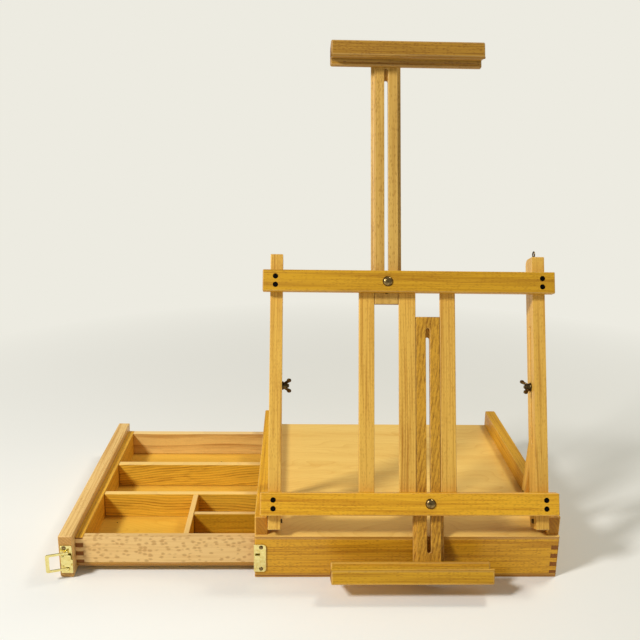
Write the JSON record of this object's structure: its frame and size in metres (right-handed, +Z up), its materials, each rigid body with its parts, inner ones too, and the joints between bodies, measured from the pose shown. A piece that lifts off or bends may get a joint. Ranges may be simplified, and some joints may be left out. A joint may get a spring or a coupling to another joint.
{
  "type": "table-top box easel",
  "caption": "Wooden table-top box easel: shallow case with a divided side drawer, a frame that tilts back on slotted struts, and sliding canvas clamp and ledge.",
  "frame": {"origin": "middle of the case's underside, where it rests on a table", "axes": "+Z up, +X to the painter's right (the drawer slides out along -X), +Y away from the painter"},
  "size_m": [0.6673, 0.4283, 0.6843],
  "materials": {
    "beech": "satin lacquered beech with fine flecks",
    "plywood": "satin lacquered plywood",
    "brass": "polished",
    "aged_brass": "dark antique brass",
    "black_steel": "black"
  },
  "bodies": {
    "box": {"bottom_panel": "plywood", "front_wall": "beech", "back_wall": "beech", "right_wall": "beech", "lid_panel": "plywood", "rail_left": "beech", "rail_right": "beech", "drawer_runner_front": "beech", "drawer_runner_back": "beech", "catch_plate": "brass", "catch_screw_upper": "brass", "catch_screw_lower": "brass", "stile_pivot_left": "aged_brass", "stile_pivot_right": "aged_brass", "strut_pivot_left": "black_steel", "strut_pivot_right": "black_steel"},
    "drawer": {"drawer_end_panel": "beech", "drawer_front_wall": "beech", "drawer_back_wall": "beech", "drawer_left_wall": "beech", "drawer_right_wall": "beech", "drawer_bottom": "plywood", "divider_rear": "beech", "divider_middle": "beech", "divider_short": "beech", "divider_front": "beech", "latch_base": "brass", "latch_screw": "brass"},
    "latch_lever": {"latch_lever": "brass"},
    "latch_loop": {"latch_loop": "brass"},
    "easel_frame": {"stile_left": "beech", "stile_right": "beech", "crossbar_upper": "beech", "crossbar_lower": "beech", "guide_left": "beech", "guide_middle": "beech", "guide_right": "beech", "slider_bolt_upper": "aged_brass", "slider_bolt_lower": "aged_brass", "screw_eye": "aged_brass", "crossbar_upper_screw_left_top": "black_steel", "crossbar_upper_screw_left_bottom": "black_steel", "crossbar_upper_screw_right_top": "black_steel", "crossbar_upper_screw_right_bottom": "black_steel", "crossbar_lower_screw_left_top": "black_steel", "crossbar_lower_screw_left_bottom": "black_steel", "crossbar_lower_screw_right_top": "black_steel", "crossbar_lower_screw_right_bottom": "black_steel"},
    "upper_slider": {"upper_slider": "beech", "canvas_clamp": "beech"},
    "lower_slider": {"lower_slider": "beech", "canvas_ledge": "beech"},
    "slider_nut_upper": {"slider_wing_nut_upper": "aged_brass"},
    "slider_nut_lower": {"slider_wing_nut_lower": "aged_brass"},
    "strut_left": {"strut_left": "beech"},
    "strut_right": {"strut_right": "beech"},
    "strut_bolt_left": {"strut_bolt_left": "aged_brass"},
    "strut_bolt_right": {"strut_bolt_right": "aged_brass"},
    "strut_nut_left": {"strut_wing_nut_left": "aged_brass"},
    "strut_nut_right": {"strut_wing_nut_right": "aged_brass"}
  },
  "joints": [
    {"name": "drawer_slide", "type": "slide", "parent": "box", "child": "drawer", "axis": [1, 0, 0], "range_m": [0, 0.2345]},
    {"name": "frame_tilt", "type": "hinge", "parent": "box", "child": "easel_frame", "pos_m": [0, -0.1745, 0.0759], "axis": [-1, 0, 0], "range_deg": [0, 69.35]},
    {"name": "upper_slide", "type": "slide", "parent": "easel_frame", "child": "upper_slider", "axis": [0, 0.3527, 0.9358], "range_m": [-0.275, 0.0018]},
    {"name": "lower_slide", "type": "slide", "parent": "easel_frame", "child": "lower_slider", "axis": [0, 0.3527, 0.9358], "range_m": [-0.012, 0.058]},
    {"name": "slider_nut_upper_turn", "type": "hinge", "parent": "easel_frame", "child": "slider_nut_upper", "pos_m": [-0.0288, -0.06412, 0.36879], "axis": [0, -0.9358, 0.3527], "continuous": true},
    {"name": "slider_nut_lower_turn", "type": "hinge", "parent": "easel_frame", "child": "slider_nut_lower", "pos_m": [0.0258, -0.16526, 0.10042], "axis": [0, -0.9358, 0.3527], "continuous": true},
    {"name": "strut_left_swing", "type": "hinge", "parent": "box", "child": "strut_left", "pos_m": [-0.1791, -0.089, 0.0735], "axis": [-1, 0, 0], "range_deg": [0, 97.13]},
    {"name": "strut_bolt_left_slide", "type": "slide", "parent": "easel_frame", "child": "strut_bolt_left", "axis": [0, 0.3527, 0.9358], "range_m": [0, 0.0782]},
    {"name": "strut_nut_left_turn", "type": "hinge", "parent": "strut_bolt_left", "child": "strut_nut_left", "pos_m": [-0.16, -0.11232, 0.24088], "axis": [1, 0, 0], "continuous": true},
    {"name": "strut_right_swing", "type": "hinge", "parent": "box", "child": "strut_right", "pos_m": [0.1791, -0.089, 0.0735], "axis": [-1, 0, 0], "range_deg": [0, 97.13]},
    {"name": "strut_bolt_right_slide", "type": "slide", "parent": "easel_frame", "child": "strut_bolt_right", "axis": [0, 0.3527, 0.9358], "range_m": [0, 0.0782]},
    {"name": "strut_nut_right_turn", "type": "hinge", "parent": "strut_bolt_right", "child": "strut_nut_right", "pos_m": [0.16, -0.11232, 0.24088], "axis": [1, 0, 0], "continuous": true},
    {"name": "latch_lever_swing", "type": "hinge", "parent": "drawer", "child": "latch_lever", "pos_m": [-0.4478, -0.19, 0.0268], "axis": [0, 0, -1], "range_deg": [0, 90]},
    {"name": "latch_loop_swing", "type": "hinge", "parent": "drawer", "child": "latch_loop", "pos_m": [-0.4412, -0.19, 0.0268], "axis": [0, 0, 1], "range_deg": [-17, 163]}
  ],
  "couplings": [
    {"joint": "strut_left_swing", "follows": "frame_tilt", "ratio": 1.4004},
    {"joint": "strut_bolt_left_slide", "follows": "frame_tilt", "m_per_rad": 0.064585},
    {"joint": "strut_right_swing", "follows": "frame_tilt", "ratio": 1.4004},
    {"joint": "strut_bolt_right_slide", "follows": "frame_tilt", "m_per_rad": 0.064585}
  ]
}
